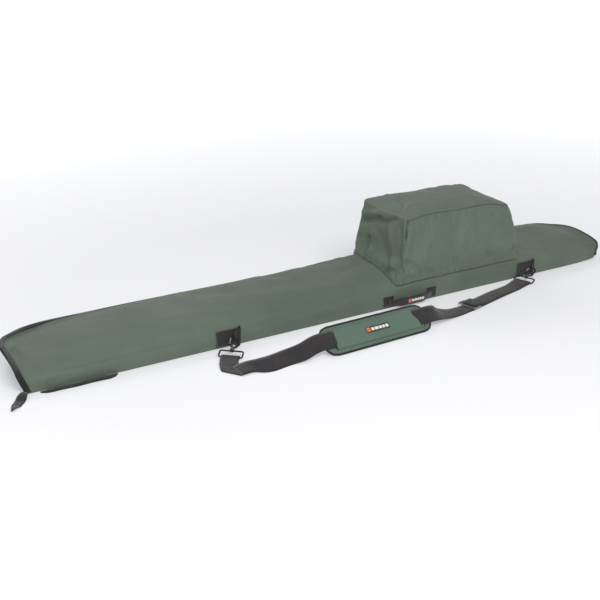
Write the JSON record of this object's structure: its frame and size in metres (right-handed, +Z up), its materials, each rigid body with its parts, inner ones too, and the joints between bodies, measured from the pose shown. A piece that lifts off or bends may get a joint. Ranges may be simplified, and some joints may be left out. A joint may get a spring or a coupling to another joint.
{
  "type": "fishing rod case",
  "caption": "Long padded rod case that opens along one side, with a raised reel pocket, a clip-on shoulder strap with a sliding pad, and webbing handles.",
  "frame": {"origin": "middle of the flat underside, on the ground", "axes": "+X along the case from the tip end to the butt end, +Y from the front band to the zip side, +Z up"},
  "size_m": [1.9526, 0.4234, 0.25],
  "materials": {
    "green_polyester": "coated woven polyester, faint sheen",
    "padding": "closed-cell foam sheet",
    "lining": "plain dark woven lining",
    "webbing": "black polypropylene webbing",
    "zip_tape": "black woven tape",
    "zip_coil": "black nylon coil",
    "black_metal": "gunmetal plating with bright worn edges",
    "bright_metal": "bright nickel",
    "pad_cloth": "green woven polyester with black edging",
    "patch": "plain woven patch with a light stripe"
  },
  "bodies": {
    "base": {"base_shell": "green_polyester", "base_foam": "padding", "base_lining": "lining", "zip_tape_base": "zip_tape", "zip_coil_base": "zip_coil", "zip_tail": "zip_tape", "dring_tab_tip": "webbing", "dring_tab_butt": "webbing", "handle_patches": "webbing", "rod_strap_strips": "webbing"},
    "lid": {"lid_shell": "green_polyester", "lid_foam": "padding", "lid_lining": "lining", "zip_tape_lid": "zip_tape", "zip_coil_lid": "zip_coil", "reel_pocket_front": "green_polyester", "reel_pocket_back": "green_polyester", "reel_pocket_gusset": "green_polyester", "reel_pocket_foam": "padding", "reel_pocket_lining": "lining"},
    "zip_slider_tip": {"zip_slider_tip": "black_metal"},
    "zip_slider_butt": {"zip_slider_butt": "black_metal"},
    "zip_pull_tip": {"zip_pull_tip": "black_metal"},
    "zip_pull_butt": {"zip_pull_butt": "black_metal"},
    "dring_tip": {"dring_tip": "black_metal"},
    "dring_butt": {"dring_butt": "black_metal"},
    "strap": {"shoulder_webbing": "webbing", "adjuster_webbing": "webbing", "strap_end_tip": "webbing", "strap_end_butt": "webbing", "hook_loop_tip": "black_metal", "hook_loop_butt": "black_metal"},
    "hook_tip": {"hook_tip": "black_metal"},
    "hook_butt": {"hook_butt": "black_metal"},
    "hook_gate_tip": {"hook_gate_tip": "bright_metal"},
    "hook_gate_butt": {"hook_gate_butt": "bright_metal"},
    "shoulder_pad": {"shoulder_pad": "pad_cloth", "pad_cover": "pad_cloth", "pad_patch": "patch"},
    "adjuster": {"strap_adjuster": "black_metal", "adjuster_tail": "webbing"},
    "carry_handle": {"handle_webbing": "webbing", "handle_label": "patch"},
    "grab_handle": {"grab_handle": "webbing"},
    "rod_strap_tip": {"rod_strap_tip": "webbing"},
    "rod_strap_middle": {"rod_strap_middle": "webbing"},
    "rod_strap_butt": {"rod_strap_butt": "webbing"}
  },
  "joints": [
    {"name": "lid_open", "type": "hinge", "parent": "base", "child": "lid", "pos_m": [0, -0.1125, 0.062], "axis": [1, 0, 0], "range_deg": [0, 100]},
    {"name": "zip_slider_tip_travel", "type": "slide", "parent": "base", "child": "zip_slider_tip", "axis": [1, 0, 0], "range_m": [-0.8, 0]},
    {"name": "zip_slider_butt_travel", "type": "slide", "parent": "base", "child": "zip_slider_butt", "axis": [1, 0, 0], "range_m": [0, 0.82]},
    {"name": "zip_pull_tip_flip", "type": "hinge", "parent": "zip_slider_tip", "child": "zip_pull_tip", "pos_m": [-0.032, 0.1199, 0.074], "axis": [1, 0, 0], "range_deg": [0, 150]},
    {"name": "zip_pull_butt_flip", "type": "hinge", "parent": "zip_slider_butt", "child": "zip_pull_butt", "pos_m": [0.008, 0.1199, 0.074], "axis": [1, 0, 0], "range_deg": [0, 150]},
    {"name": "dring_tip_turn", "type": "hinge", "parent": "base", "child": "dring_tip", "pos_m": [-0.397, -0.117, 0.028], "axis": [0, 0, 1], "range_deg": [-6, 6]},
    {"name": "dring_butt_turn", "type": "hinge", "parent": "base", "child": "dring_butt", "pos_m": [0.638, -0.117, 0.028], "axis": [0, 0, 1], "range_deg": [-6, 6]},
    {"name": "strap_swing", "type": "hinge", "parent": "base", "child": "strap", "pos_m": [0, -0.1367, 0.028], "axis": [1, 0, 0], "range_deg": [-90, 0]},
    {"name": "hook_tip_swivel", "type": "hinge", "parent": "strap", "child": "hook_tip", "pos_m": [-0.42222, -0.1367, 0.028], "axis": [-0.6057, -0.6895, -0.3971], "range_deg": [-22, 22]},
    {"name": "hook_butt_swivel", "type": "hinge", "parent": "strap", "child": "hook_butt", "pos_m": [0.61278, -0.1367, 0.028], "axis": [-0.8777, -0.2683, -0.3971], "range_deg": [-22, 22]},
    {"name": "hook_gate_tip_open", "type": "hinge", "parent": "hook_tip", "child": "hook_gate_tip", "pos_m": [-0.43981, -0.14295, 0.02666], "axis": [-0.1486, 0.5884, -0.7948], "range_deg": [0, 20]},
    {"name": "hook_gate_butt_open", "type": "hinge", "parent": "hook_butt", "child": "hook_gate_butt", "pos_m": [0.59453, -0.13277, 0.02666], "axis": [0.1827, 0.5787, -0.7948], "range_deg": [0, 20]},
    {"name": "pad_slide", "type": "slide", "parent": "strap", "child": "shoulder_pad", "axis": [0.9997, 0.0262, 0], "range_m": [-0.025, 0.025]},
    {"name": "adjuster_slide", "type": "slide", "parent": "strap", "child": "adjuster", "axis": [0.9724, 0.2334, 0], "range_m": [-0.02, 0.09]},
    {"name": "carry_handle_lift", "type": "hinge", "parent": "base", "child": "carry_handle", "pos_m": [0.155, -0.121, 0.022], "axis": [1, 0, 0], "range_deg": [-60, 20]},
    {"name": "grab_handle_lift", "type": "hinge", "parent": "base", "child": "grab_handle", "pos_m": [-0.8105, -0.1145, 0.0016], "axis": [1, 0, 0], "range_deg": [-85, 0]},
    {"name": "rod_strap_tip_open", "type": "hinge", "parent": "base", "child": "rod_strap_tip", "pos_m": [-0.62, -0.078, 0.0128], "axis": [1, 0, 0], "range_deg": [0, 70]},
    {"name": "rod_strap_middle_open", "type": "hinge", "parent": "base", "child": "rod_strap_middle", "pos_m": [-0.18, -0.078, 0.0128], "axis": [1, 0, 0], "range_deg": [0, 70]},
    {"name": "rod_strap_butt_open", "type": "hinge", "parent": "base", "child": "rod_strap_butt", "pos_m": [0.74, -0.078, 0.0128], "axis": [1, 0, 0], "range_deg": [0, 70]}
  ],
  "couplings": [
    {"joint": "rod_strap_tip_open", "follows": "lid_open", "ratio": 0.7},
    {"joint": "rod_strap_middle_open", "follows": "lid_open", "ratio": 0.7},
    {"joint": "rod_strap_butt_open", "follows": "lid_open", "ratio": 0.7}
  ]
}
